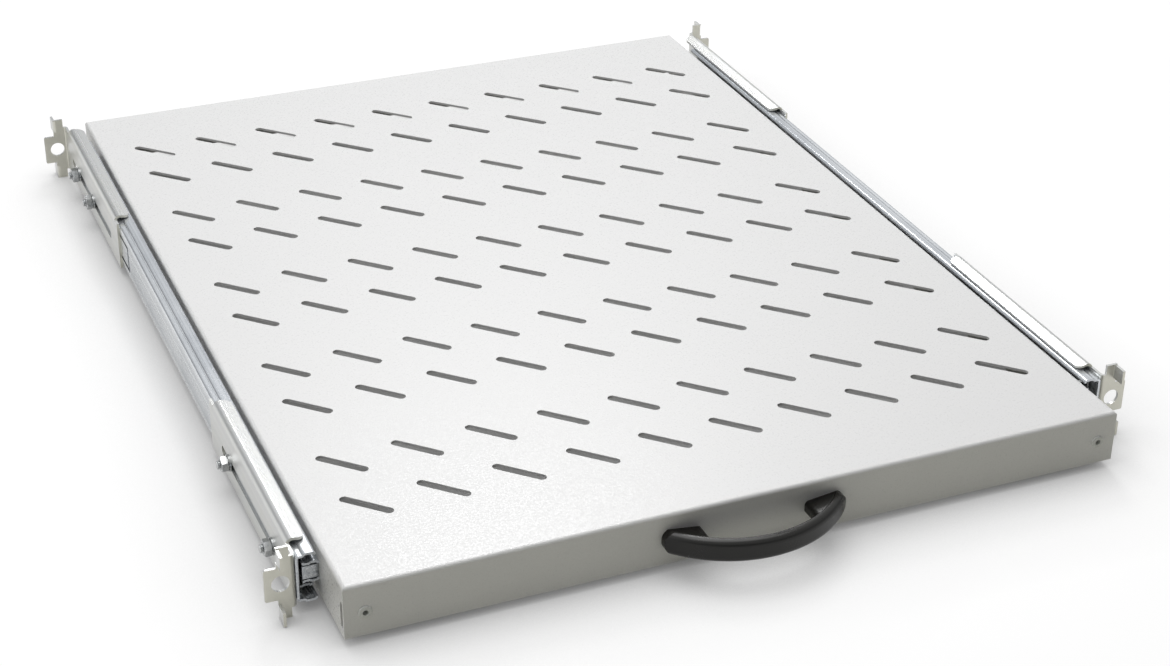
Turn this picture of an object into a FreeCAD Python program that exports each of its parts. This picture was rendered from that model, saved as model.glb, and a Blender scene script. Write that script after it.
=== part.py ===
import FreeCAD, Part
import math
import os

# Sliding rack shelf: a folded, slotted tray on two three-member ball slides, hung
# in the rack by four adjustable brackets. Millimetres, x across, y to the back, z up.
# The origin lies midway between the two front bolt holes, on the front flange face.

# Rack interface
rack_hole_span = 465.1
rack_hole_pitch = 15.875
rack_hole_diameter = 9.0
rear_extension = 26.5

# Tray
tray_to_rack_hole = 20.55
tray_depth = 565.0
tray_height = 29.0
tray_sheet = 1.5
tray_bend_radius = 0.5
tray_overhang = 33.5
deck_level = 14.0
slot_columns = 10
slot_column_pitch = 40.0
slot_row_pairs = 5
slot_pair_pitch = 100.0
slot_row_pitch = 40.0
slot_length = 29.5
slot_width = 5.0
slot_angle = -45.0
seam_width = 3.4
seam_height = 14.4
seam_depth = 3.0
seam_drop = 2.6
corner_tab_width = 16.0
corner_tab_height = 22.0
corner_tab_gap = 0.2
rivet_inset = 10.5
rivet_drop = 1.3
rivet_diameter = 3.8
rivet_clearance = 0.05
rivet_bore = 2.9
rivet_head_diameter = 7.0
rivet_head_height = 1.0
rivet_head_round = 0.8
rivet_collar_diameter = 5.5
rivet_collar_length = 2.0

# Slides: offsets in the section run from the tray's side towards the rack
slide_length = 500.0
slide_front = 0.5
slide_thickness = 12.7
slide_height = 28.0
travel = 500.0
rail_sheet = 1.2
rail_bend_radius = 0.5
crown_inner_reach = 3.1
crown_outer_reach = 2.0
crown_slope = 0.8
crown_rise = 1.0
lip_length = 1.4
mid_lip_reach = 3.7
mid_lip_length = 1.7
race_depth = 0.5
race_half_width = 1.3
race_slope = 0.7
ball_diameter = 3.0
ball_clearance = 0.05
ball_offset = 6.1
balls_per_row = 6
cage_sheet = 0.4
cage_bend_radius = 0.4
cage_end_gap = 5.0
cage_hole_clearance = 0.1
running_gap = 0.25
mid_setback = 7.0
inner_setback = 4.0
rear_setback = 8.0
tab_half_height = 3.6
tab_bend_radius = 0.8
tab_relief = 0.4
stop_half_height = 5.0
stop_bend_radius = 0.8
stop_relief = 0.3
buffer_width = 7.0
buffer_web_gap = 1.0
buffer_half_height = 7.0
buffer_round = 1.0
buffer_gap = 0.3
buffer_stem_diameter = 4.0
buffer_stem_clearance = 0.1
tongue_inset = 148.5
tongue_length = 36.0
tongue_half_height = 8.3
tongue_slit = 2.0
tongue_front_gap = 3.2

# Brackets
bracket_sheet = 1.5
bracket_bend_radius = 1.0
bracket_length = 154.0
bracket_half_height = 14.8
roll_start = 11.0
roll_end = 147.0
roll_radius = 2.0
roll_slope = 11.5
roll_clearance = 0.3
roll_reach = 8.2
roll_corner_radius = 4.0
strip_width = 2.95
neck_width = 6.4
neck_half_height = 20.4
lobe_reach = 8.0
lobe_half_height = 9.1
lobe_corner_radius = 1.0
hook_height = 8.0
hook_length = 7.5
hook_bend_radius = 0.5
adjust_slot_start = 18.0
adjust_slot_end = 132.0
adjust_slot_height = 5.4
adjust_slot_level = -3.0

# Bracket fasteners
stud_diameter = 5.0
stud_clearance = 0.1
stud_head_diameter = 7.0
stud_head_height = 0.7
stud_tip = 1.8
stud_chamfer = 0.6
stud_front_insets = (36.0, 117.0)
stud_rear_insets = (12.0, 54.5)
washer_diameter = 9.2
washer_height = 1.0
nut_across_flats = 8.0
nut_height = 4.0
nut_bevel = 0.2

# Fasteners between the inner rails and the tray
shelf_screw_diameter = 3.5
shelf_screw_clearance = 0.1
shelf_screw_head_diameter = 7.0
shelf_screw_head_height = 2.4
shelf_screw_head_round = 1.2
shelf_screw_tip = 0.8
shelf_screw_inset = 40.0
shelf_nut_across_flats = 6.0
shelf_nut_height = 2.8

# Pull handle
handle_length = 100.0
handle_height = 12.5
handle_reach = 27.0
handle_thickness = 5.0
handle_inner_radius = 60.0
handle_outer_round = 3.6
handle_inner_round = 0.8
handle_tip_radius = 5.5
handle_screw_span = 70.0
foot_start = 28.5
foot_height = 7.0
foot_round = 2.5
handle_screw_diameter = 3.5
handle_screw_clearance = 0.1
handle_screw_depth = 9.0
handle_screw_tip = 0.5
handle_screw_head_diameter = 8.0
handle_screw_head_height = 2.6
handle_screw_head_round = 1.3

# Places that follow from the sizes above
rack_hole = rack_hole_span / 2
side = rack_hole - tray_to_rack_hole
tray_front = -tray_overhang
tray_back = tray_front + tray_depth
tray_bottom = deck_level - tray_height
tray_middle = deck_level - tray_height / 2
seam_middle = tray_middle - seam_drop
rivet_level = tray_middle - rivet_drop
handle_level = tray_middle
slide_rear = slide_front + slide_length
rack_depth = slide_rear + rear_extension
shelf_screw_places = [slide_front + offset
                      for offset in (shelf_screw_inset, slide_length / 2, slide_length - shelf_screw_inset)]
stud_places = list(stud_front_insets) + [slide_rear - inset for inset in stud_rear_insets]
tongue_front = slide_rear - tongue_inset
rail_web = rail_sheet / 2
outer_web = slide_thickness - rail_web
lip_offset = ball_offset - crown_inner_reach
crown_offset = ball_offset + crown_outer_reach
mid_lip_offset = ball_offset - mid_lip_reach
crown_level = slide_height / 2 - rail_web
outer_ball_level = slide_height / 2 - rail_sheet - ball_clearance - ball_diameter / 2
mid_race_level = outer_ball_level - ball_diameter / 2 - ball_clearance - rail_web
inner_ball_level = mid_race_level - rail_web - ball_clearance - ball_diameter / 2
inner_race_level = inner_ball_level - ball_diameter / 2 - ball_clearance - rail_web
outer_cage_web = slide_thickness - rail_sheet - running_gap - cage_sheet / 2
mid_web = outer_cage_web - cage_sheet / 2 - running_gap - rail_web
inner_cage_web = mid_web - rail_web - running_gap - cage_sheet / 2
inner_edge = inner_cage_web - cage_sheet / 2 - running_gap
mid_front = slide_front + mid_setback
inner_front = slide_front + inner_setback
sliding_rear = slide_rear - rear_setback
cage_front = mid_front + travel / 4
cage_length = sliding_rear - mid_front - travel / 2 - cage_end_gap
buffer_middle = slide_thickness - rail_sheet - buffer_web_gap - buffer_width / 2
buffer_edge = buffer_middle - buffer_width / 2
bracket_inside = side + slide_thickness
bracket_outside = bracket_inside + bracket_sheet

os.makedirs("parts", exist_ok=True)


def point(x, y, z):
    return FreeCAD.Vector(x, y, z)


def box(x0, x1, y0, y1, z0, z1):
    """Block between two corners."""
    corner = point(min(x0, x1), min(y0, y1), min(z0, z1))
    return Part.makeBox(abs(x1 - x0), abs(y1 - y0), abs(z1 - z0), corner)


def rod(start, direction, diameter, length):
    """Round bar from a point along a direction."""
    return Part.makeCylinder(diameter / 2, length, start, direction)


def hexagon(start, direction, across_flats, height, bore):
    """Hexagon nut with a plain bore and its free face bevelled."""
    radius = across_flats / math.sqrt(3)
    corners = [point(radius * math.cos(i * math.pi / 3), radius * math.sin(i * math.pi / 3), 0)
               for i in range(7)]
    prism = Part.Face(Part.makePolygon(corners)).extrude(point(0, 0, height))
    free_radius = across_flats / 2 - nut_bevel
    bevel = Part.makeCone(free_radius + height, free_radius, height)
    nut = prism.common(bevel).cut(Part.makeCylinder(bore / 2, height))
    nut.Placement = FreeCAD.Placement(start, FreeCAD.Rotation(point(0, 0, 1), direction))
    return nut


def mirrored(shape):
    """The same piece on the other side of the shelf."""
    return shape.mirror(point(0, 0, 0), point(1, 0, 0))


def save(name, shape):
    shape.exportStep("parts/" + name + ".step")


def save_pair(name, shape):
    """The right-hand piece and its mirror image."""
    save("right_" + name, shape)
    save("left_" + name, mirrored(shape))


def folded(path, sheet, radius, lift):
    """Face of a folded sheet: its middle line is a path of straight runs, its bends have
    the given inner radius, and lift turns a pair of numbers into a point in space."""
    half = sheet / 2
    middle_radius = radius + half
    runs = [(b[0] - a[0], b[1] - a[1]) for a, b in zip(path, path[1:])]
    units = [(dx / math.hypot(dx, dy), dy / math.hypot(dx, dy)) for dx, dy in runs]

    def beside(base, unit, offset):
        return (base[0] - unit[1] * offset, base[1] + unit[0] * offset)

    def straight(a, b):
        """Line between two bends, or nothing where one bend follows the other at once."""
        return [Part.makeLine(lift(*a), lift(*b))] if math.dist(a, b) > 1e-6 else []

    def edge_beside(offset):
        edges = []
        here = beside(path[0], units[0], offset)
        for corner, before, after in zip(path[1:], units, units[1:]):
            cross = before[0] * after[1] - before[1] * after[0]
            dot = before[0] * after[0] + before[1] * after[1]
            turn = math.atan2(cross, dot)
            reach = middle_radius * math.tan(abs(turn) / 2)
            entry = (corner[0] - before[0] * reach, corner[1] - before[1] * reach)
            leave = (corner[0] + after[0] * reach, corner[1] + after[1] * reach)
            centre = beside(entry, before, math.copysign(middle_radius, turn))
            bend = abs(math.copysign(middle_radius, turn) - offset)
            out = (before[0] - after[0], before[1] - after[1])
            size = math.hypot(*out)
            bulge = (centre[0] + out[0] / size * bend, centre[1] + out[1] / size * bend)
            start = beside(entry, before, offset)
            finish = beside(leave, after, offset)
            edges += straight(here, start)
            edges.append(Part.Arc(lift(*start), lift(*bulge), lift(*finish)).toShape())
            here = finish
        return edges + straight(here, beside(path[-1], units[-1], offset))

    ends = [Part.makeLine(lift(*beside(base, unit, half)), lift(*beside(base, unit, -half)))
            for base, unit in ((path[0], units[0]), (path[-1], units[-1]))]
    return Part.Face(Part.Wire(Part.__sortEdges__(edge_beside(half) + edge_beside(-half) + ends)))


def rounded_edges(shape, direction, places, radius):
    """Fillet the straight edges along a direction whose middles lie at the given places."""
    chosen = []
    for edge in shape.Edges:
        if len(edge.Vertexes) != 2:
            continue
        ends = [vertex.Point for vertex in edge.Vertexes]
        run = ends[1] - ends[0]
        if run.cross(direction).Length > 1e-6:
            continue
        middle = (ends[0] + ends[1]) * 0.5
        offsets = [(middle - place) - direction * (middle - place).dot(direction) for place in places]
        if min(offset.Length for offset in offsets) < 1e-4:
            chosen.append(edge)
    return shape.makeFillet(radius, chosen)


along_x = point(1, 0, 0)
along_y = point(0, 1, 0)
along_z = point(0, 0, 1)


# Shelf tray: one sheet folded down on all four sides, with diagonal slots in the deck
def tray_block(inset, radius):
    """Rounded block of the tray's outside, or of its inside at the sheet's thickness."""
    top = deck_level - inset
    bottom = tray_bottom if inset == 0 else tray_bottom - tray_sheet
    block = box(-side + inset, side - inset, tray_front + inset, tray_back - inset, bottom, top)
    rim = [edge for edge in block.Edges if all(abs(v.Z - top) < 1e-6 for v in edge.Vertexes)]
    return block.makeFillet(radius, rim)


def deck_slots():
    """Diagonal slots, in pairs of rows that are centred on the deck."""
    half = (slot_length - slot_width) / 2
    first_x = -(slot_columns - 1) * slot_column_pitch / 2
    pattern_depth = (slot_row_pairs - 1) * slot_pair_pitch + slot_row_pitch
    first_y = (tray_front + tray_back - pattern_depth) / 2
    floor = deck_level - 2 * tray_sheet
    height = 3 * tray_sheet
    end_shift = point(half, slot_width / 2, 0)
    blank = Part.makeBox(2 * half, slot_width, height, point(0, 0, 0) - end_shift)
    for x in (-half, half):
        blank = blank.fuse(rod(point(x, 0, 0), along_z, slot_width, height))
    blank = blank.removeSplitter()
    blank.rotate(point(0, 0, 0), along_z, slot_angle)
    slots = []
    for column in range(slot_columns):
        for pair in range(slot_row_pairs):
            for row in range(2):
                y = first_y + pair * slot_pair_pitch + row * slot_row_pitch
                slots.append(blank.translated(point(first_x + column * slot_column_pitch, y, floor)))
    return Part.makeCompound(slots)


def shelf_tray():
    tray = tray_block(0, tray_bend_radius + tray_sheet)
    tray = tray.cut(tray_block(tray_sheet, tray_bend_radius))
    inside = side - tray_sheet
    tab_front = tray_front + tray_sheet + corner_tab_gap
    tab_bottom = tray_middle - corner_tab_height / 2
    tab_top = tray_middle + corner_tab_height / 2
    apron_depth = 2 * tray_sheet + corner_tab_gap
    for sign in (-1, 1):
        tray = tray.fuse(box(sign * inside, sign * (inside - corner_tab_width),
                             tab_front, tab_front + tray_sheet, tab_bottom, tab_top))
    cuts = [deck_slots()]
    for sign in (-1, 1):
        cuts.append(box(sign * (side - seam_depth), sign * side,
                        tray_front + tray_sheet, tray_front + tray_sheet + seam_width,
                        seam_middle - seam_height / 2, seam_middle + seam_height / 2))
        cuts.append(rod(point(sign * (side - rivet_inset), tray_front, rivet_level), along_y,
                        rivet_diameter + 2 * rivet_clearance, apron_depth))
        cuts.append(rod(point(sign * handle_screw_span / 2, tray_front, handle_level), along_y,
                        handle_screw_diameter + 2 * handle_screw_clearance, tray_sheet))
        for place in shelf_screw_places:
            cuts.append(rod(point(sign * inside, place, 0), along_x * sign,
                            shelf_screw_diameter + 2 * shelf_screw_clearance, tray_sheet))
    return tray.cut(cuts).removeSplitter()


def corner_rivet(sign):
    """Hollow blind rivet: low round head outside, set collar inside."""
    start = point(sign * (side - rivet_inset), tray_front, rivet_level)
    grip = 2 * tray_sheet + corner_tab_gap
    head = rod(start, along_y * -1, rivet_head_diameter, rivet_head_height)
    crown = [edge for edge in head.Edges if all(abs(v.Y - tray_front + rivet_head_height) < 1e-6
                                                for v in edge.Vertexes)]
    head = head.makeFillet(rivet_head_round, crown)
    shank = rod(start, along_y, rivet_diameter, grip)
    collar = rod(start + along_y * grip, along_y, rivet_collar_diameter, rivet_collar_length)
    bore = rod(start - along_y * rivet_head_height, along_y, rivet_bore,
               rivet_head_height + grip + rivet_collar_length)
    return head.fuse([shank, collar]).cut(bore).removeSplitter()


save("shelf_tray", shelf_tray())
save("corner_rivets", Part.makeCompound([corner_rivet(-1), corner_rivet(1)]))


# Pull handle: a moulded bow with a rounded face, on two feet that take screws
def pull_handle():
    half = handle_height / 2
    near = handle_inner_radius
    far = near + handle_thickness
    centre_y = tray_front - handle_reach + far
    soft = handle_inner_round
    full = handle_outer_round

    def at(radius, level):
        return point(0, centre_y - radius, handle_level + level)

    def corner(radius, level, size, towards):
        """Quarter round from the flat top or bottom to the inner or outer face."""
        sign = math.copysign(1, level)
        centre_radius = radius - towards * size
        centre_level = level - sign * size
        bulge = size * math.sqrt(0.5)
        return Part.Arc(at(centre_radius, level),
                        at(centre_radius + towards * bulge, centre_level + sign * bulge),
                        at(radius, centre_level)).toShape()

    edges = [corner(near, half, soft, -1), corner(near, -half, soft, -1),
             corner(far, half, full, 1), corner(far, -half, full, 1),
             Part.makeLine(at(near + soft, half), at(far - full, half)),
             Part.makeLine(at(near + soft, -half), at(far - full, -half)),
             Part.makeLine(at(near, half - soft), at(near, soft - half)),
             Part.makeLine(at(far, half - full), at(far, full - half))]
    section = Part.Face(Part.Wire(Part.__sortEdges__(edges)))
    axis = point(0, centre_y, 0)
    sweep = 2 * math.degrees(math.acos((far - handle_reach) / far))
    section.rotate(axis, along_z, -sweep / 2)
    bow = section.revolve(axis, along_z, sweep)
    front = tray_front - handle_reach
    outline = box(-handle_length / 2, handle_length / 2, front, tray_front,
                  handle_level - half, handle_level + half)
    tips = [point(sx * handle_length / 2, 0, handle_level + sz * half) for sx in (-1, 1) for sz in (-1, 1)]
    outline = rounded_edges(outline, along_y, tips, handle_tip_radius)
    bow = bow.common(outline)
    reach_disc = Part.makeCylinder(near + soft, handle_height, point(0, centre_y, handle_level - half))
    for sign in (-1, 1):
        inner = sign * foot_start
        tip = sign * handle_length / 2
        corners = [(inner, -foot_height / 2), (tip, -half), (tip, half), (inner, foot_height / 2)]
        wedge = Part.makePolygon([point(x, front, handle_level + z) for x, z in corners + corners[:1]])
        foot = Part.Face(wedge).extrude(along_y * handle_reach)
        ribs = [point(inner, 0, handle_level + sz * foot_height / 2) for sz in (-1, 1)]
        foot = rounded_edges(foot, along_y, ribs, foot_round)
        bow = bow.fuse(foot.common(outline).common(reach_disc))
    for sign in (-1, 1):
        bow = bow.cut(rod(point(sign * handle_screw_span / 2, tray_front, handle_level), along_y * -1,
                          handle_screw_diameter + 2 * handle_screw_clearance,
                          handle_screw_depth + handle_screw_tip))
    return bow.removeSplitter()


def handle_screw(sign):
    seat = point(sign * handle_screw_span / 2, tray_front + tray_sheet, handle_level)
    head = rod(seat, along_y, handle_screw_head_diameter, handle_screw_head_height)
    rim = [edge for edge in head.Edges
           if all(v.Y > seat.y + handle_screw_head_height - 1e-6 for v in edge.Vertexes)]
    head = head.makeFillet(handle_screw_head_round, rim)
    return head.fuse(rod(seat, along_y * -1, handle_screw_diameter, tray_sheet + handle_screw_depth))


save("pull_handle", pull_handle())
save("handle_screws", Part.makeCompound([handle_screw(-1), handle_screw(1)]))


# Slides: sections are drawn on the right-hand side, from the tray's side outwards
def rail(upper_half, front, rear, sheet=rail_sheet, radius=rail_bend_radius):
    """Folded rail whose section is the given upper half and its mirror image below."""
    path = upper_half + [(v, -z) for v, z in reversed(upper_half)]
    face = folded(path, sheet, radius, lambda v, z: point(side + v, front, z))
    return face.extrude(along_y * (rear - front))


def race(level, edge_offset):
    """Shallow trough under a row of balls, from an edge towards the rack side."""
    ridge = level + race_depth
    near = ball_offset - race_half_width
    far = ball_offset + race_half_width
    return [(edge_offset, ridge), (near - race_slope, ridge), (near, level), (far, level),
            (far + race_slope, ridge)]


def outer_rail():
    shoulder = crown_level - crown_rise
    upper = [(lip_offset, crown_level - lip_length), (lip_offset, crown_level),
             (crown_offset, crown_level), (crown_offset + crown_slope, shoulder), (outer_web, shoulder)]
    shape = rail(upper, slide_front, slide_rear)
    inner_face = slide_thickness - rail_sheet
    notch = rail_sheet + stop_bend_radius
    shape = shape.cut(box(side + inner_face, side + slide_thickness, slide_rear - notch, slide_rear,
                          -stop_half_height - stop_relief, stop_half_height + stop_relief))
    path = [(outer_web, slide_rear - notch), (outer_web, slide_rear - rail_web),
            (buffer_edge, slide_rear - rail_web)]
    stop = folded(path, rail_sheet, stop_bend_radius, lambda v, y: point(side + v, y, -stop_half_height))
    shape = shape.fuse(stop.extrude(along_z * (2 * stop_half_height)))
    cuts = [rod(point(side + buffer_middle, slide_rear - rail_sheet, 0), along_y,
                buffer_stem_diameter, rail_sheet)]
    web = (side + inner_face, side + slide_thickness)
    tongue_rear = tongue_front + tongue_length
    window = box(*web, tongue_front, tongue_rear, -tongue_half_height, tongue_half_height)
    tongue = box(*web, tongue_front + tongue_front_gap, tongue_rear,
                 tongue_slit - tongue_half_height, tongue_half_height - tongue_slit)
    cuts.append(window.cut(tongue))
    for place in stud_places:
        seat = point(side + inner_face, place, adjust_slot_level)
        cuts.append(rod(seat, along_x, stud_diameter + 2 * stud_clearance, rail_sheet))
        cuts.append(rod(seat, along_x, stud_head_diameter + 2 * stud_clearance, stud_head_height))
    return shape.cut(cuts)


def mid_rail():
    upper = [(mid_lip_offset, mid_race_level + race_depth - mid_lip_length)]
    upper += race(mid_race_level, mid_lip_offset)
    upper.append((mid_web, mid_race_level + race_depth))
    return rail(upper, mid_front, sliding_rear)


def inner_rail():
    upper = list(reversed(race(inner_race_level, rail_web)))
    upper = [(inner_edge, inner_race_level + race_depth)] + upper
    tab_seat = inner_front + rail_sheet + tab_bend_radius
    shape = rail(upper, inner_front, sliding_rear)
    shape = shape.cut(box(side, side + rail_sheet, inner_front, tab_seat,
                          -tab_half_height - tab_relief, tab_half_height + tab_relief))
    path = [(rail_web, tab_seat), (rail_web, inner_front + rail_web), (inner_edge, inner_front + rail_web)]
    tab = folded(path, rail_sheet, tab_bend_radius, lambda v, y: point(side + v, y, -tab_half_height))
    shape = shape.fuse(tab.extrude(along_z * (2 * tab_half_height)))
    hole_diameter = shelf_screw_diameter + 2 * shelf_screw_clearance
    holes = [rod(point(side, place, 0), along_x, hole_diameter, rail_sheet) for place in shelf_screw_places]
    return shape.cut(holes)


def ball_places(level):
    """Centres of the balls in the upper and lower rows of a cage."""
    step = cage_length / balls_per_row
    return [point(side + ball_offset, cage_front + step * (i + 0.5), z)
            for z in (-level, level) for i in range(balls_per_row)]


def cage(level, web):
    """Thin folded strip between two members, with a round hole for each ball."""
    shape = rail([(lip_offset, level), (web, level)], cage_front, cage_front + cage_length,
                 cage_sheet, cage_bend_radius)
    holes = [rod(place - along_z * ball_diameter / 2, along_z,
                 ball_diameter + 2 * cage_hole_clearance, ball_diameter) for place in ball_places(level)]
    return shape.cut(holes)


def balls(level):
    return Part.makeCompound([Part.makeSphere(ball_diameter / 2, place) for place in ball_places(level)])


def rear_buffer():
    """Rubber block on the outer rail's end tab, with a stem through the tab's hole."""
    seat = slide_rear - rail_sheet
    block = box(side + buffer_edge, side + buffer_edge + buffer_width, sliding_rear + buffer_gap, seat,
                -buffer_half_height, buffer_half_height)
    rims = [point(side + buffer_middle + sx * buffer_width / 2, 0, sz * buffer_half_height)
            for sx in (-1, 1) for sz in (-1, 1)]
    block = rounded_edges(block, along_y, rims, buffer_round)
    stem = rod(point(side + buffer_middle, seat, 0), along_y,
               buffer_stem_diameter - 2 * buffer_stem_clearance, rail_sheet)
    return block.fuse(stem)


def shelf_screw(place):
    seat = point(side + rail_sheet, place, 0)
    head = rod(seat, along_x, shelf_screw_head_diameter, shelf_screw_head_height)
    rim = [edge for edge in head.Edges
           if all(v.X > seat.x + shelf_screw_head_height - 1e-6 for v in edge.Vertexes)]
    head = head.makeFillet(shelf_screw_head_round, rim)
    length = rail_sheet + tray_sheet + shelf_nut_height + shelf_screw_tip
    return head.fuse(rod(seat, along_x * -1, shelf_screw_diameter, length))


def shelf_nut(place):
    seat = point(side - tray_sheet, place, 0)
    return hexagon(seat, along_x * -1, shelf_nut_across_flats, shelf_nut_height,
                   shelf_screw_diameter + 2 * shelf_screw_clearance)


save_pair("outer_rail", outer_rail())
save_pair("mid_rail", mid_rail())
save_pair("inner_rail", inner_rail())
save_pair("outer_cage", cage(outer_ball_level, outer_cage_web))
save_pair("outer_balls", balls(outer_ball_level))
save_pair("inner_cage", cage(inner_ball_level, inner_cage_web))
save_pair("inner_balls", balls(inner_ball_level))
save_pair("rear_buffer", rear_buffer())
save_pair("shelf_screws", Part.makeCompound([shelf_screw(place) for place in shelf_screw_places]))
save_pair("shelf_nuts", Part.makeCompound([shelf_nut(place) for place in shelf_screw_places]))


# Brackets: folded plate with a rolled top edge, a long adjusting slot and a hooked end flange
def front_bracket():
    web_middle = bracket_inside + bracket_sheet / 2
    flange_middle = bracket_sheet / 2
    strip_end = bracket_inside + strip_width
    neck_end = strip_end + neck_width
    lobe_end = rack_hole + lobe_reach
    path = [(web_middle, bracket_length), (web_middle, flange_middle), (strip_end, flange_middle)]
    shape = folded(path, bracket_sheet, bracket_bend_radius, lambda x, y: point(x, y, -bracket_half_height))
    shape = shape.extrude(along_z * (2 * bracket_half_height))

    neck = box(strip_end, neck_end, 0, bracket_sheet, -neck_half_height, neck_half_height)
    lobe = box(neck_end, lobe_end, 0, bracket_sheet, -lobe_half_height, lobe_half_height)
    lobe_corners = [point(lobe_end, 0, sign * lobe_half_height) for sign in (-1, 1)]
    flange = neck.fuse(rounded_edges(lobe, along_y, lobe_corners, lobe_corner_radius))
    hook_bend = bracket_sheet + hook_bend_radius
    for sign in (-1, 1):
        low = sign * rack_hole_pitch - hook_height / 2
        hook_x = neck_end - bracket_sheet / 2
        flange = flange.cut(box(neck_end - hook_bend, neck_end, 0, bracket_sheet, low, low + hook_height))
        hook_path = [(neck_end - hook_bend, flange_middle), (hook_x, flange_middle), (hook_x, -hook_length)]
        hook = folded(hook_path, bracket_sheet, hook_bend_radius, lambda x, y: point(x, y, low))
        flange = flange.fuse(hook.extrude(along_z * hook_height))
    shape = shape.fuse(flange)

    slope = math.radians(roll_slope)
    roll_edge = bracket_inside - roll_reach
    edge_level = slide_height / 2 + roll_clearance + bracket_sheet / 2 * math.cos(slope)
    corner_level = edge_level + (web_middle - roll_edge) * math.tan(slope)
    roll_turn = math.pi / 2 + slope
    roll_foot = corner_level - (roll_radius + bracket_sheet / 2) * math.tan(roll_turn / 2)
    shape = shape.cut(box(bracket_inside, bracket_outside, roll_start, roll_end,
                          roll_foot, bracket_half_height))
    path = [(web_middle, roll_foot), (web_middle, corner_level), (roll_edge, edge_level)]
    roll = folded(path, bracket_sheet, roll_radius, lambda x, z: point(x, roll_start, z))
    roll = roll.extrude(along_y * (roll_end - roll_start))
    across_roll = point(-math.sin(slope), 0, math.cos(slope))
    ends = [point(roll_edge, y, edge_level) for y in (roll_start, roll_end)]
    shape = shape.fuse(rounded_edges(roll, across_roll, ends, roll_corner_radius))

    slot_half = adjust_slot_height / 2
    cuts = [rod(point(rack_hole, 0, 0), along_y, rack_hole_diameter, bracket_sheet),
            box(bracket_inside, bracket_outside, adjust_slot_start + slot_half, adjust_slot_end - slot_half,
                adjust_slot_level - slot_half, adjust_slot_level + slot_half)]
    for y in (adjust_slot_start + slot_half, adjust_slot_end - slot_half):
        slot_end = point(bracket_inside, y, adjust_slot_level)
        cuts.append(rod(slot_end, along_x, adjust_slot_height, bracket_sheet))
    return shape.cut(cuts).removeSplitter()


def turned_to_rear(shape):
    """The same bracket facing the rear posts."""
    return shape.mirror(point(0, rack_depth / 2, 0), along_y)


bracket = front_bracket()
save("front_right_bracket", bracket)
save("front_left_bracket", mirrored(bracket))
save("rear_right_bracket", turned_to_rear(bracket))
save("rear_left_bracket", mirrored(turned_to_rear(bracket)))


# Studs clinched in the outer rails, with the washers and nuts that clamp the brackets
def stud(place):
    seat = point(side + slide_thickness - rail_sheet, place, adjust_slot_level)
    head = rod(seat, along_x, stud_head_diameter, stud_head_height)
    length = rail_sheet + bracket_sheet + washer_height + nut_height + stud_tip
    shank = rod(seat, along_x, stud_diameter, length)
    rim = [edge for edge in shank.Edges if all(v.X > seat.x + length - 1e-6 for v in edge.Vertexes)]
    return head.fuse(shank.makeChamfer(stud_chamfer, rim))


def washer(place):
    seat = point(bracket_outside, place, adjust_slot_level)
    bore = stud_diameter + 2 * stud_clearance
    return rod(seat, along_x, washer_diameter, washer_height).cut(rod(seat, along_x, bore, washer_height))


def nut(place):
    seat = point(bracket_outside + washer_height, place, adjust_slot_level)
    return hexagon(seat, along_x, nut_across_flats, nut_height, stud_diameter + 2 * stud_clearance)


save_pair("bracket_studs", Part.makeCompound([stud(place) for place in stud_places]))
save_pair("bracket_washers", Part.makeCompound([washer(place) for place in stud_places]))
save_pair("bracket_nuts", Part.makeCompound([nut(place) for place in stud_places]))
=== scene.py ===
import math
import bmesh
import bpy
import numpy as np
from mathutils import Matrix, Vector


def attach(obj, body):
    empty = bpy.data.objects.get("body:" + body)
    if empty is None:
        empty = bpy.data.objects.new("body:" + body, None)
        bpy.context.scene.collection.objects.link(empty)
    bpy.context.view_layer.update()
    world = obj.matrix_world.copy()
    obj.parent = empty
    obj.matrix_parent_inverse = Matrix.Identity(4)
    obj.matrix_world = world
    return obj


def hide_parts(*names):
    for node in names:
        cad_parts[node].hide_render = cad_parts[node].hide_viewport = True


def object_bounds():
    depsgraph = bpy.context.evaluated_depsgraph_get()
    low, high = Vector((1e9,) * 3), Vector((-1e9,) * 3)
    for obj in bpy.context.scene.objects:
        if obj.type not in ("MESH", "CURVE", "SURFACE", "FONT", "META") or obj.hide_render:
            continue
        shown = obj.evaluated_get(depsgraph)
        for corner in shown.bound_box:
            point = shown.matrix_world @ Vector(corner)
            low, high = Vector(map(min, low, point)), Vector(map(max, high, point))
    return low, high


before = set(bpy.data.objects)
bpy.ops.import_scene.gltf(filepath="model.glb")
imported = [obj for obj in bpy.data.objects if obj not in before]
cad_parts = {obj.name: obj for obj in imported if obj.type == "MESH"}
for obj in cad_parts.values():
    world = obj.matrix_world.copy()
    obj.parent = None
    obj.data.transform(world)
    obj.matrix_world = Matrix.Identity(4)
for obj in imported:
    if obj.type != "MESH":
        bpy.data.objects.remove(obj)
cad_low, cad_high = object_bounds()

# Rack brackets: four plates of 1.5 mm cold-rolled steel, blanked, folded and zinc plated after
# pressing. A rolled top edge stiffens the slotted web, and hooks and a bolt hold the end flange
# to the rack post.
micrometre = 0.000001


def add_node(tree, kind, inputs=None, **settings):
    """A node with some of its settings. Its inputs take values or the outputs of other nodes."""
    node = tree.nodes.new(kind)
    for setting, value in settings.items():
        setattr(node, setting, value)
    for socket, value in (inputs or {}).items():
        if isinstance(value, bpy.types.NodeSocket):
            tree.links.new(value, node.inputs[socket])
        else:
            node.inputs[socket].default_value = value
    return node


def maths(tree, operation, *terms):
    """The result of a calculation with terms that are numbers or outputs."""
    return add_node(tree, "ShaderNodeMath", dict(enumerate(terms)), operation=operation).outputs[0]


def ramp(tree, value, start=0.0, stop=1.0, low=0.0, high=1.0):
    """Low where a value is at start, high where it is at stop, and evenly between them."""
    inputs = {"Value": value, "From Min": start, "From Max": stop, "To Min": low, "To Max": high}
    return add_node(tree, "ShaderNodeMapRange", inputs).outputs["Result"]


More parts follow.
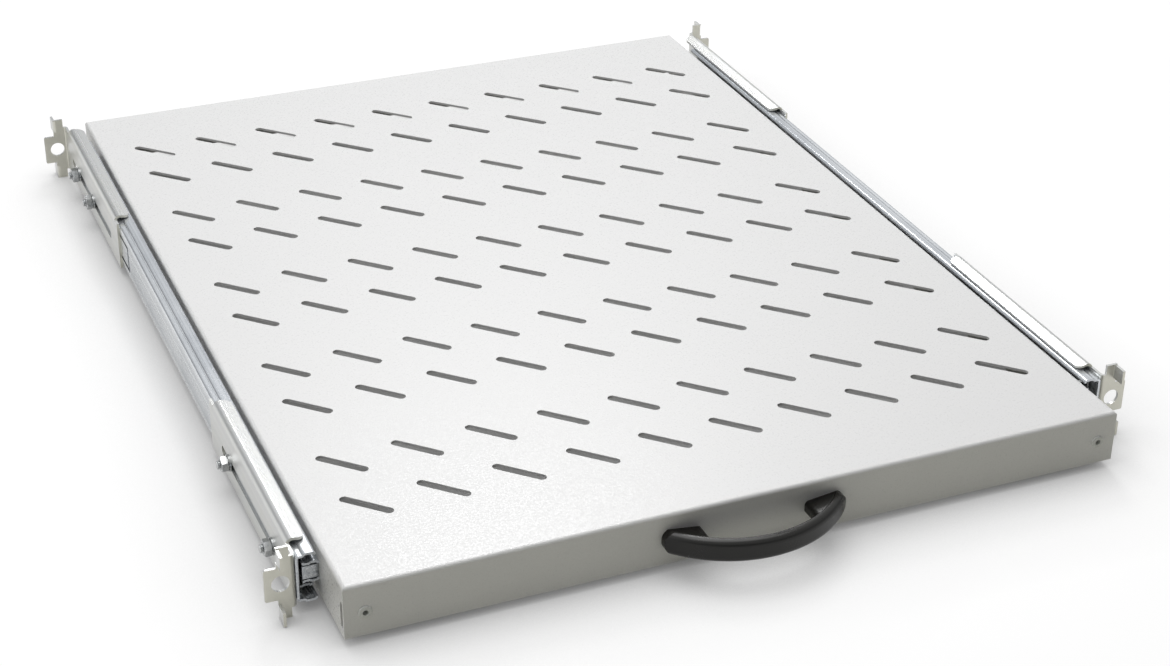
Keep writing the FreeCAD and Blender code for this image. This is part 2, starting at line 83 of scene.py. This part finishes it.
def blend(tree, share, first, second):
    """The first colour where the share is 0, and the second where it is 1."""
    inputs = {"Factor": share, "A": first, "B": second}
    return add_node(tree, "ShaderNodeMix", inputs, data_type="RGBA").outputs["Result"]


def noise(tree, place, scale, detail, roughness=0.5):
    """Soft noise about one half, with octaves of finer detail."""
    inputs = {"Vector": place, "Scale": scale, "Detail": detail, "Roughness": roughness}
    return add_node(tree, "ShaderNodeTexNoise", inputs).outputs["Fac"]


def new_effect(name, inputs):
    """A node group that puts out a colour, a roughness and a height: the group, the values that it
    is given, and what it puts out, still unlinked."""
    group = bpy.data.node_groups.new(name, "ShaderNodeTree")
    kinds = {1: "NodeSocketFloat", 3: "NodeSocketVector", 4: "NodeSocketColor"}
    for label, value in inputs.items():
        socket = group.interface.new_socket(label, in_out="INPUT", socket_type=kinds[np.size(value)])
        socket.default_value = value
    for label, size in (("Color", 4), ("Roughness", 1), ("Height", 1)):
        group.interface.new_socket(label, in_out="OUTPUT", socket_type=kinds[size])
    return group, group.nodes.new("NodeGroupInput").outputs, group.nodes.new("NodeGroupOutput").inputs


def zinc_plate_effect():
    """Zinc plate: streaks drawn out along the rolling direction, slow clouds of passivation and
    fine grain. The tone mixes a bright and a dull zinc, and film, yellowish unless given otherwise,
    gathers in the clouds and, by an amount of its own, on faces that look to the front or back. By
    the side shade amount the film also covers faces that look to the sides, as painted shade. Faces
    that look up are smoother by the polish that forming gives them."""
    group, given, result = new_effect(
        "zinc_plate",
        {"Streak Scale": (500.0, 6.0, 500.0), "Cloud Scale": 45.0,
         "Bright": (0.8, 0.83, 0.86, 1.0), "Dull": (0.5, 0.54, 0.58, 1.0),
         "Film": (0.72, 0.7, 0.58, 1.0), "Film Amount": 0.3, "Flange Film": 0.0, "Side Shade": 0.0,
         "Smooth": 0.2, "Rough": 0.4, "Top Polish": 0.0})
    cloud_share = 0.25
    grain_scale = 1800.0
    grain_height = 0.25
    place = add_node(group, "ShaderNodeTexCoord").outputs["Object"]
    stretch = add_node(group, "ShaderNodeMapping", {"Vector": place, "Scale": given["Streak Scale"]})
    streak = noise(group, stretch.outputs["Vector"], scale=1.0, detail=5.0, roughness=0.65)
    cloud = noise(group, place, given["Cloud Scale"], detail=4.0, roughness=0.55)
    grain = noise(group, place, grain_scale, detail=2.0)
    streaked = maths(group, "MULTIPLY", streak, 1.0 - cloud_share)
    clouded = maths(group, "MULTIPLY_ADD", cloud, cloud_share, streaked)
    tone = ramp(group, clouded, start=0.32, stop=0.68)
    shade = blend(group, tone, given["Dull"], given["Bright"])
    normal = add_node(group, "ShaderNodeNewGeometry").outputs["Normal"]
    facing = add_node(group, "ShaderNodeSeparateXYZ", {0: normal}).outputs
    film_clouds = ramp(group, cloud, start=0.45, stop=0.75)
    film = maths(group, "MULTIPLY", film_clouds, given["Film Amount"])
    # Faces that look to the sides take the film by the side shade amount, which paints shade.
    for direction, amount in (("Y", "Flange Film"), ("X", "Side Shade")):
        faces = maths(group, "MULTIPLY", maths(group, "ABSOLUTE", facing[direction]), given[amount])
        film = maths(group, "MAXIMUM", film, faces)
    group.links.new(blend(group, film, shade, given["Film"]), result["Color"])
    rough = ramp(group, streak, start=0.3, stop=0.7, low=given["Rough"], high=given["Smooth"])
    upward = maths(group, "MAXIMUM", facing["Z"], 0.0)
    unpolished = maths(group, "SUBTRACT", 1.0, maths(group, "MULTIPLY", upward, given["Top Polish"]))
    group.links.new(maths(group, "MULTIPLY", rough, unpolished), result["Roughness"])
    group.links.new(maths(group, "MULTIPLY_ADD", grain, grain_height, streak), result["Height"])
    return group


def effect_material(name, effect, values, bump_height, shader_values):
    """A material whose colour, roughness and bump come from an effect that is given some values."""
    material = bpy.data.materials.new(name)
    material.use_nodes = True
    tree = material.node_tree
    shader = tree.nodes["Principled BSDF"]
    varied = add_node(tree, "ShaderNodeGroup", values, node_tree=effect).outputs
    bump = add_node(tree, "ShaderNodeBump",
                    {"Strength": 1.0, "Distance": bump_height, "Height": varied["Height"]})
    tree.links.new(varied["Color"], shader.inputs["Base Color"])
    tree.links.new(varied["Roughness"], shader.inputs["Roughness"])
    tree.links.new(bump.outputs["Normal"], shader.inputs["Normal"])
    for socket, value in shader_values.items():
        shader.inputs[socket].default_value = value
    return material


def finish_node(node, material):
    """Give a CAD node its finish; its shape stays as it is."""
    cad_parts[node].material_slots[0].material = material


zinc_plate = zinc_plate_effect()
matte_plate = {"Metallic": 0.75}
bracket_zinc = effect_material(
    "bracket_zinc", zinc_plate,
    {"Streak Scale": (240.0, 1.5, 240.0), "Cloud Scale": 60.0,
     "Bright": (0.72, 0.725, 0.715, 1.0), "Dull": (0.63, 0.635, 0.63, 1.0),
     "Film": (0.62, 0.605, 0.505, 1.0), "Film Amount": 0.2, "Flange Film": 0.7,
     "Smooth": 0.36, "Rough": 0.42, "Top Polish": 0.3},
    1.0 * micrometre, matte_plate)
for end in ("front", "rear"):
    for side in ("left", "right"):
        finish_node(f"{end}_{side}_bracket", bracket_zinc)

# Slide rails: three nested members of 1.2 mm strip per side, roll formed and zinc plated, so fine
# drawing streaks run along their whole length. Balls run in the troughs between them. The middle
# member is painted darker, with a dark film on its side faces: painted shade for the dark inside
# of the slides, with some grease.
slide_zinc = effect_material(
    "slide_zinc", zinc_plate,
    {"Streak Scale": (700.0, 1.2, 700.0), "Cloud Scale": 25.0,
     "Bright": (0.90, 0.92, 0.94, 1.0), "Dull": (0.40, 0.425, 0.46, 1.0),
     "Film": (0.62, 0.64, 0.66, 1.0), "Film Amount": 0.2,
     "Smooth": 0.22, "Rough": 0.34, "Top Polish": 0.3},
    0.8 * micrometre, matte_plate)
# Painted shade: the middle members are darker zinc, and their side faces take a dark film for the
# shade inside the slides. The clouds of film are grease.
grease_and_shade_zinc = effect_material(
    "grease_and_shade_zinc", zinc_plate,
    {"Streak Scale": (900.0, 5.0, 900.0), "Cloud Scale": 40.0,
     "Bright": (0.60, 0.615, 0.625, 1.0), "Dull": (0.34, 0.35, 0.36, 1.0),
     "Film": (0.16, 0.145, 0.115, 1.0), "Film Amount": 0.35, "Side Shade": 0.75,
     "Smooth": 0.18, "Rough": 0.38},
    3.0 * micrometre, matte_plate)
for side in ("left", "right"):
    finish_node(f"{side}_outer_rail", slide_zinc)
    finish_node(f"{side}_mid_rail", grease_and_shade_zinc)
    finish_node(f"{side}_inner_rail", slide_zinc)

# Ball cages and balls: thin plated strip with a hole for each ball, and bright hardened balls
# under a film of grease. They run hidden between the members.
bare_metal = {"Metallic": 1.0}
cage_steel = effect_material(
    "cage_steel", zinc_plate,
    {"Streak Scale": (600.0, 10.0, 600.0), "Cloud Scale": 80.0,
     "Bright": (0.70, 0.72, 0.74, 1.0), "Dull": (0.45, 0.47, 0.50, 1.0),
     "Film": (0.50, 0.46, 0.36, 1.0), "Film Amount": 0.25, "Smooth": 0.3, "Rough": 0.5},
    8.0 * micrometre, matte_plate)
ball_steel = effect_material(
    "ball_steel", zinc_plate,
    {"Streak Scale": (300.0, 300.0, 300.0), "Cloud Scale": 400.0,
     "Bright": (0.86, 0.87, 0.88, 1.0), "Dull": (0.74, 0.75, 0.77, 1.0),
     "Film": (0.62, 0.56, 0.42, 1.0), "Film Amount": 0.3, "Smooth": 0.05, "Rough": 0.16},
    2.0 * micrometre, bare_metal)
for side in ("left", "right"):
    for row in ("outer", "inner"):
        finish_node(f"{side}_{row}_cage", cage_steel)
        finish_node(f"{side}_{row}_balls", ball_steel)

# Bracket fasteners: M5 studs clinched into the outer rails, with washers and hexagon nuts that clamp
# the brackets' slots. All are zinc plated; the studs have a rolled thread and a chamfered tip, and
# the nuts are chamfered at both ends.
fastener_zinc = effect_material(
    "fastener_zinc", zinc_plate,
    {"Streak Scale": (900.0, 900.0, 900.0), "Cloud Scale": 300.0,
     "Bright": (0.56, 0.57, 0.575, 1.0), "Dull": (0.34, 0.35, 0.355, 1.0),
     "Film": (0.44, 0.43, 0.37, 1.0), "Film Amount": 0.2, "Smooth": 0.1, "Rough": 0.24},
    6.0 * micrometre, bare_metal)
millimetre = 0.001
x_axis, y_axis = 0, 1


def node_solids(node, axis, gap=8 * millimetre):
    """Lowest and highest corner of each solid of a CAD node, parted by gaps along one axis."""
    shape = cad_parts[node]
    points = np.empty(3 * len(shape.data.vertices))
    shape.data.vertices.foreach_get("co", points)
    pose = np.array(shape.matrix_world)
    points = points.reshape(-1, 3) @ pose[:3, :3].T + pose[:3, 3]
    points = points[np.argsort(points[:, axis])]
    starts = np.flatnonzero(np.diff(points[:, axis]) > gap) + 1
    return [(part.min(axis=0), part.max(axis=0)) for part in np.split(points, starts)]


def ring_piece(name, grids, material, crease=35.0):
    """One mesh object from grids of points. Each grid's columns close into rings and neighbouring
    rows are joined; rows that meet or shrink to a point are merged, which closes the ends."""
    merge_distance = 1e-7
    faces = []
    first = 0
    for grid in grids:
        index = first + np.arange(grid.shape[0] * grid.shape[1]).reshape(grid.shape[:2])
        near, far = index[:-1], index[1:]
        quads = np.stack([near, far, np.roll(far, -1, axis=1), np.roll(near, -1, axis=1)], axis=-1)
        faces.append(quads.reshape(-1, 4))
        first += index.size
    points = np.concatenate([grid.reshape(-1, 3) for grid in grids])
    mesh = bpy.data.meshes.new(name)
    mesh.from_pydata(points, [], np.concatenate(faces))
    shell = bmesh.new()
    shell.from_mesh(mesh)
    bmesh.ops.remove_doubles(shell, verts=shell.verts, dist=merge_distance)
    bmesh.ops.recalc_face_normals(shell, faces=shell.faces)
    shell.to_mesh(mesh)
    shell.free()
    mesh.shade_smooth()
    mesh.set_sharp_from_angle(angle=math.radians(crease))
    mesh.materials.append(material)
    piece = bpy.data.objects.new(name, mesh)
    bpy.context.scene.collection.objects.link(piece)
    return piece


def fill_box(rings, low, high, axis, sign):
    """Rings of (height, angle, radius) as points about a box's middle line along one axis. They
    start at the box's low end and run up, or with a sign of -1 at its high end and run down."""
    height, angle, radius = rings
    across = [other for other in range(3) if other != axis]
    points = np.empty(radius.shape + (3,))
    points[...] = (low + high) / 2
    points[..., axis] = (low if sign > 0 else high)[axis] + sign * height
    points[..., across[0]] += radius * np.cos(angle)
    points[..., across[1]] += radius * np.sin(angle)
    return points


def thread_ridge(height, angle, pitch):
    """Height of a screw thread, 0 at its root and 1 at its crest: a triangle wave of height over
    pitch less angle over a full turn, steepened about its middle and cut flat at both ends."""
    steepness = 1.3
    phase = (height / pitch - angle / (2 * np.pi)) % 1.0
    wave = np.abs(2 * phase - 1)
    return np.clip(0.5 + steepness * (wave - 0.5), 0.0, 1.0)


def stud_rings(length, head_radius, head_height, radius, pitch, columns=40, steps_per_turn=9):
    """Stud from its clinched head to its tip: the radius follows head, shank and tip chamfer along
    the height, and dips to the root between the turns of the thread."""
    thread_depth = 0.61 * pitch
    edge = 0.15 * head_height
    head_levels = [0, 0, edge, head_height - edge, head_height]
    head_outline = [0, head_radius - edge, head_radius, head_radius, head_radius - edge]
    steps = int((length - head_height) / pitch * steps_per_turn)
    shank_levels = np.linspace(head_height, length, steps)
    shank = slice(len(head_levels), -1)
    height = np.concatenate([head_levels, shank_levels, [length]])
    outline = np.concatenate([head_outline, np.full(steps, radius), [0]])[:, None]
    angle = np.linspace(0, 2 * np.pi, columns, endpoint=False)
    height, angle = np.meshgrid(height, angle, indexing="ij")
    thread = np.zeros(height.shape)
    thread[shank] = thread_depth * (1 - thread_ridge(height[shank], angle[shank], pitch))
    chamfer = (radius - thread_depth + length - height) * (outline > 0)
    return height, angle, np.maximum(np.minimum(outline - thread, chamfer), 0)


def nut_rings(height, flats, bore, turn, columns=72, rows=15):
    """Hexagon nut: half the width across flats over the cosine of the angle from the nearest flat,
    cut at both ends by a 30 degree cone, and closed by a countersunk bore."""
    cone_start = 0.475 * flats
    cone_slope = math.sqrt(3)
    countersink = 0.08 * flats
    sector = np.pi / 3
    angle = np.linspace(0, 2 * np.pi, columns, endpoint=False)
    hexagon = flats / 2 / np.cos((angle + sector / 2) % sector - sector / 2)
    level = height * (1 - np.cos(np.linspace(0, np.pi, rows))) / 2
    from_end = np.minimum(level, height - level)
    outside = np.minimum(hexagon[None, :], (cone_start + cone_slope * from_end)[:, None])
    hole = bore + np.maximum(countersink - from_end, 0)
    inside = np.broadcast_to(hole[::-1, None], outside.shape)
    radius = np.concatenate([outside, inside, outside[:1]])
    level = np.concatenate([level, level[::-1], level[:1]])
    return (np.broadcast_to(level[:, None], radius.shape),
            np.broadcast_to(angle + turn, radius.shape), radius)


stud_diameter = 5.0 * millimetre
stud_pitch = 0.8 * millimetre
stud_head_height = 0.7 * millimetre
bore_clearance = 0.06 * millimetre
nut_turns = (0.31, 0.0, 0.74, 0.5)
nut_crease = 20.0
for side, outward in (("left", -1), ("right", 1)):
    studs = []
    for low, high in node_solids(f"{side}_bracket_studs", y_axis):
        length, _, head_width = high - low
        rings = stud_rings(length, head_width / 2, stud_head_height, stud_diameter / 2, stud_pitch)
        studs.append(fill_box(rings, low, high, x_axis, outward))
    piece = ring_piece(f"{side}_threaded_studs", studs, fastener_zinc)
    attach(piece, "rack_mounting")
    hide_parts(f"{side}_bracket_studs")
    nuts = []
    for (low, high), turn in zip(node_solids(f"{side}_bracket_nuts", y_axis), nut_turns):
        height, *widths = high - low
        rings = nut_rings(height, min(widths), stud_diameter / 2 + bore_clearance, turn)
        nuts.append(fill_box(rings, low, high, x_axis, outward))
    piece = ring_piece(f"{side}_hexagon_nuts", nuts, fastener_zinc, nut_crease)
    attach(piece, "rack_mounting")
    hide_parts(f"{side}_bracket_nuts")
    finish_node(f"{side}_bracket_washers", fastener_zinc)

# Shelf tray: one blank of 1.5 mm steel, punched with diagonal slots and folded down on all four
# sides, then coated with light grey powder that cures to a fine, slightly glossy texture.


def powder_coat_effect():
    """Cured powder: close round bumps of about a millimetre with finer ones between them, and a
    tone that is a little lighter on the bumps than between them and varies slowly in patches."""
    group, given, result = new_effect(
        "powder_coat",
        {"Grain Scale": 900.0, "Light": (0.85, 0.86, 0.84, 1.0), "Dark": (0.78, 0.79, 0.77, 1.0),
         "Smooth": 0.35, "Rough": 0.55})
    patch_scale = 18.0
    patch_share = 0.3
    place = add_node(group, "ShaderNodeTexCoord").outputs["Object"]
    bumps = noise(group, place, given["Grain Scale"], detail=2.0)
    patches = noise(group, place, patch_scale, detail=3.0)
    raised = ramp(group, bumps, start=0.4, stop=0.62)
    tone = maths(group, "MULTIPLY", raised, 1.0 - patch_share)
    patched = maths(group, "MULTIPLY_ADD", patches, patch_share, tone)
    group.links.new(blend(group, patched, given["Dark"], given["Light"]), result["Color"])
    rough = ramp(group, raised, low=given["Rough"], high=given["Smooth"])
    group.links.new(rough, result["Roughness"])
    group.links.new(bumps, result["Height"])
    return group


powder_coat = powder_coat_effect()
tray_coat = effect_material(
    "tray_coat", powder_coat,
    {"Grain Scale": 800.0, "Light": (0.81, 0.81, 0.808, 1.0), "Dark": (0.77, 0.77, 0.766, 1.0),
     "Smooth": 0.26, "Rough": 0.4},
    50.0 * micrometre, {})
finish_node("shelf_tray", tray_coat)

# Corner rivets: hollow blind rivets of steel, set from outside to close the tray's front corners.
# They are coated with the tray, and their open bores stay dark.
rivet_coat = effect_material(
    "rivet_coat", powder_coat,
    {"Grain Scale": 1100.0, "Light": (0.74, 0.75, 0.735, 1.0), "Dark": (0.66, 0.67, 0.655, 1.0),
     "Smooth": 0.34, "Rough": 0.5},
    50.0 * micrometre, {})
finish_node("corner_rivets", rivet_coat)

# Pull handle: a bow moulded in black plastic, with a fine satin texture from the mould. Its two
# feet stand on the apron, and screws from inside the tray hold them.


def moulded_effect():
    """Moulded plastic: a fine even texture with slow changes of gloss."""
    group, given, result = new_effect(
        "moulded_plastic",
        {"Grain Scale": 2500.0, "Light": (0.02, 0.02, 0.018, 1.0), "Dark": (0.01, 0.01, 0.009, 1.0),
         "Smooth": 0.32, "Rough": 0.5})
    gloss_scale = 70.0
    place = add_node(group, "ShaderNodeTexCoord").outputs["Object"]
    grain = noise(group, place, given["Grain Scale"], detail=1.0)
    gloss = noise(group, place, gloss_scale, detail=3.0)
    group.links.new(blend(group, gloss, given["Dark"], given["Light"]), result["Color"])
    rough = ramp(group, gloss, start=0.3, stop=0.7, low=given["Rough"], high=given["Smooth"])
    group.links.new(rough, result["Roughness"])
    group.links.new(grain, result["Height"])
    return group


moulded_plastic = moulded_effect()
weak_shine = {"Specular IOR Level": 0.34}
handle_plastic = effect_material(
    "handle_plastic", moulded_plastic,
    {"Grain Scale": 2500.0,
     "Light": (0.009, 0.0083, 0.0065, 1.0), "Dark": (0.005, 0.0046, 0.0036, 1.0),
     "Smooth": 0.24, "Rough": 0.36},
    12.0 * micrometre, weak_shine)
finish_node("pull_handle", handle_plastic)

# Rear buffers: black rubber blocks, moulded with a stem that is pressed into the outer rails' end
# tabs. They stop the shelf softly.
buffer_rubber = effect_material(
    "buffer_rubber", moulded_plastic,
    {"Grain Scale": 1400.0, "Light": (0.03, 0.03, 0.029, 1.0), "Dark": (0.015, 0.015, 0.015, 1.0),
     "Smooth": 0.6, "Rough": 0.8},
    30.0 * micrometre, weak_shine)
for side in ("left", "right"):
    finish_node(f"{side}_rear_buffer", buffer_rubber)

# Shelf screws and nuts: M3.5 pan-head screws with a cross recess hold the inner rails to the tray's
# sides, with a hexagon nut on each inside the tray. Zinc plated.


def screw_rings(length, head_radius, head_height, radius, pitch, columns=64, steps_per_turn=7):
    """Pan-head screw from the middle of its head to its tip. The head's face falls back by one less
    the root of one less the cube of the share of its radius, and a cross is sunk into it where an
    arm's middle line is near. The shank dips to the root between the turns of its thread, and its
    end narrows by as much as it is away from the tip."""
    face_rows = 18
    dome_height = 0.88 * head_height
    arm_half_width, arm_edge = 0.15 * head_radius, 0.07 * head_radius
    cross_radius, cross_edge = 0.62 * head_radius, 0.25 * head_radius
    cross_depth = 0.6 * head_height
    thread_depth = 0.55 * pitch
    out = np.linspace(0, head_radius, face_rows)
    dome = dome_height * (1 - np.sqrt(np.clip(1 - (out / head_radius) ** 3, 0, 1)))
    steps = int((length - head_height) / pitch * steps_per_turn)
    shank_levels = np.linspace(head_height, length, steps)
    height = np.concatenate([dome, [head_height], shank_levels, [length]])
    outline = np.concatenate([out, [head_radius], np.full(steps, radius), [0]])
    angle = np.linspace(0, 2 * np.pi, columns, endpoint=False)
    height, angle = np.meshgrid(height, angle, indexing="ij")
    reach = np.broadcast_to(outline[:, None], height.shape)
    row = np.arange(height.shape[0])[:, None]
    from_arm = np.minimum(np.abs(reach * np.cos(angle)), np.abs(reach * np.sin(angle)))
    cross = np.clip((arm_half_width - from_arm) / arm_edge, 0, 1)
    cross = cross * np.clip((cross_radius - reach) / cross_edge, 0, 1)
    sunk = height + np.where(row < face_rows, cross_depth * cross, 0)
    shank = slice(face_rows + 1, -1)
    thread = np.zeros(height.shape)
    thread[shank] = thread_depth * (1 - thread_ridge(height[shank], angle[shank], pitch))
    point = np.where(row > face_rows, radius - thread_depth + length - height, head_radius)
    return sunk, angle, np.maximum(np.minimum(reach - thread, point), 0)


shelf_screw_diameter = 3.5 * millimetre
shelf_screw_pitch = 0.6 * millimetre
shelf_screw_head = 2.4 * millimetre
for side, outward in (("left", -1), ("right", 1)):
    screws = []
    for low, high in node_solids(f"{side}_shelf_screws", y_axis):
        length, _, head_width = high - low
        rings = screw_rings(length, head_width / 2, shelf_screw_head,
                            shelf_screw_diameter / 2, shelf_screw_pitch)
        screws.append(fill_box(rings, low, high, x_axis, -outward))
    piece = ring_piece(f"{side}_cross_head_screws", screws, fastener_zinc)
    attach(piece, "sliding_shelf")
    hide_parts(f"{side}_shelf_screws")
    nuts = []
    for (low, high), turn in zip(node_solids(f"{side}_shelf_nuts", y_axis), nut_turns):
        height, *widths = high - low
        rings = nut_rings(height, min(widths), shelf_screw_diameter / 2 + bore_clearance, turn)
        nuts.append(fill_box(rings, low, high, x_axis, -outward))
    piece = ring_piece(f"{side}_inner_nuts", nuts, fastener_zinc, nut_crease)
    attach(piece, "sliding_shelf")
    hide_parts(f"{side}_shelf_nuts")

# Handle screws: two zinc-plated pan-head screws with a coarser thread, driven through the apron from
# inside the tray into the handle's feet.
handle_screw_diameter = 3.5 * millimetre
handle_screw_pitch = 1.2 * millimetre
handle_screw_head = 2.6 * millimetre
screws = []
for low, high in node_solids("handle_screws", x_axis):
    _, length, head_width = high - low
    rings = screw_rings(length, head_width / 2, handle_screw_head,
                        handle_screw_diameter / 2, handle_screw_pitch)
    screws.append(fill_box(rings, low, high, y_axis, -1))
piece = ring_piece("handle_cross_head_screws", screws, fastener_zinc)
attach(piece, "sliding_shelf")
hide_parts("handle_screws")

# Floor: a plain pale sheet under the shelf. Seen directly or in metal it is white away from the
# shelf, and it keeps the shelf's shadow. Its glow also fades where the shelf covers it, which
# paints a soft shadow under and around the shelf.
floor_half = 4.0
floor_mesh = bpy.data.meshes.new("floor")
floor_mesh.from_pydata(
    [(x, y, cad_low.z) for x, y in ((-floor_half, -floor_half), (floor_half, -floor_half),
                                    (floor_half, floor_half), (-floor_half, floor_half))],
    [], [(0, 1, 2, 3)])
floor = bpy.data.objects.new("floor", floor_mesh)
bpy.context.scene.collection.objects.link(floor)


def seen_rays(tree):
    """One for rays that show the background: from the camera, off metal or through glass."""
    path = add_node(tree, "ShaderNodeLightPath").outputs
    either = maths(tree, "MAXIMUM", path["Is Camera Ray"], path["Is Glossy Ray"])
    return maths(tree, "MAXIMUM", either, path["Is Transmission Ray"])


white = (1.0, 1.0, 1.0, 1.0)
cover_distance = 0.08
painted_shadow_glow = 0.02
near_distance, far_distance = 0.7, 2.5
near_glow, far_glow = 0.7, 1.0
floor_paper = bpy.data.materials.new("floor_paper")
floor_paper.use_nodes = True
paper = floor_paper.node_tree
paper.nodes.remove(paper.nodes["Principled BSDF"])
bounce = add_node(paper, "ShaderNodeBsdfDiffuse", {"Color": (0.62, 0.615, 0.535, 1.0)})
sheet = add_node(paper, "ShaderNodeBsdfDiffuse", {"Color": (0.35, 0.35, 0.35, 1.0)})
place = add_node(paper, "ShaderNodeTexCoord").outputs["Object"]
distance = add_node(paper, "ShaderNodeVectorMath", {0: place}, operation="LENGTH").outputs["Value"]
open_glow = ramp(paper, distance, near_distance, far_distance, near_glow, far_glow)
# Painted shadow: the glow falls to a low level where the shelf is near above, so the floor darkens
# under and around it.
uncovered = add_node(paper, "ShaderNodeAmbientOcclusion", {"Distance": cover_distance}, samples=8)
strength = ramp(paper, uncovered.outputs["AO"], low=painted_shadow_glow, high=open_glow)
glow = add_node(paper, "ShaderNodeEmission", {"Color": white, "Strength": strength})
pale = add_node(paper, "ShaderNodeAddShader", {0: sheet.outputs[0], 1: glow.outputs[0]})
choice = add_node(paper, "ShaderNodeMixShader",
                  {0: seen_rays(paper), 1: bounce.outputs[0], 2: pale.outputs[0]})
paper.links.new(choice.outputs[0], paper.nodes["Material Output"].inputs["Surface"])
floor_mesh.materials.append(floor_paper)

# Studio: surroundings that are white where they are seen directly. Metal shows them white at eye level
# and on the right, pale on the far left and above and dim between. A large soft box hangs overhead, a
# small bright one behind shines along the deck, and a weak one stands on the left.
fill_strength = 0.1
fill_colour = (0.86, 0.93, 1.0, 1.0)
surround = bpy.data.worlds.new("surround")
surround.use_nodes = True
bpy.context.scene.world = surround
sky = surround.node_tree
background = sky.nodes["Background"]
direction = add_node(sky, "ShaderNodeTexCoord").outputs["Generated"]
compass = add_node(sky, "ShaderNodeSeparateXYZ", {0: direction}).outputs
lit_wall = ramp(sky, compass["Z"], start=0.32, stop=0.42, low=0.28, high=0.9)
right_wall = ramp(sky, compass["X"], start=-0.05, stop=0.3, low=0.15, high=lit_wall)
eye_level = ramp(sky, compass["Z"], start=0.1, stop=0.22, low=1.0, high=0.0)
left_wall = ramp(sky, compass["X"], start=-0.6, stop=-0.35, low=0.6, high=0.0)
ceiling = ramp(sky, compass["Z"], start=0.3, stop=0.65, low=0.0, high=0.95)
seen_wall = add_node(sky, "ShaderNodeLightPath").outputs["Is Camera Ray"]
for part in (right_wall, eye_level, left_wall, ceiling):
    seen_wall = maths(sky, "MAXIMUM", seen_wall, part)
seen = seen_rays(sky)
strength = ramp(sky, seen, low=fill_strength, high=seen_wall)
fill = ramp(sky, seen, low=1.0, high=seen_wall)
sky.links.new(strength, background.inputs["Strength"])
sky.links.new(blend(sky, fill, fill_colour, white), background.inputs["Color"])
middle = (cad_low + cad_high) / 2


def soft_box(name, power, width, depth, offset):
    """A rectangular area lamp at an offset from the shelf's middle, which it faces."""
    lamp = bpy.data.lights.new(name, "AREA")
    lamp.shape = "RECTANGLE"
    lamp.size = width
    lamp.size_y = depth
    lamp.energy = power
    lit = bpy.data.objects.new(name, lamp)
    bpy.context.scene.collection.objects.link(lit)
    place = middle + Vector(offset)
    heading = (middle - place).to_track_quat("-Z", "Y")
    lit.matrix_world = Matrix.Translation(place) @ heading.to_matrix().to_4x4()


soft_box("overhead_soft_box", power=20.0, width=1.5, depth=1.3, offset=(-0.03, 0.18, 1.5))
soft_box("rear_soft_box", power=14.5, width=0.6, depth=0.6, offset=(0.63, 1.73, 1.84))
soft_box("left_soft_box", power=3.4, width=1.0, depth=1.0, offset=(-1.5, -0.35, 0.8))

# Camera: at the photograph's viewing angle, from the lens and place that its slot grid gives.
image_width = 1170
focal_pixels = 2282.8
camera_place = (-0.44606, -0.86728, 0.63386)
view_azimuth = 23.017
view_drop = 29.346
view_roll = 0.682
lens = bpy.data.cameras.new("camera")
lens.sensor_width = 36.0
lens.lens = focal_pixels / image_width * lens.sensor_width
camera = bpy.data.objects.new("camera", lens)
bpy.context.scene.collection.objects.link(camera)
turn = Matrix.Rotation(math.radians(-view_azimuth), 4, "Z")
tilt = Matrix.Rotation(math.radians(90.0 - view_drop), 4, "X")
roll = Matrix.Rotation(math.radians(view_roll), 4, "Z")
camera.matrix_world = Matrix.Translation(camera_place) @ turn @ tilt @ roll
bpy.context.scene.camera = camera
bpy.context.scene.view_settings.view_transform = "Standard"
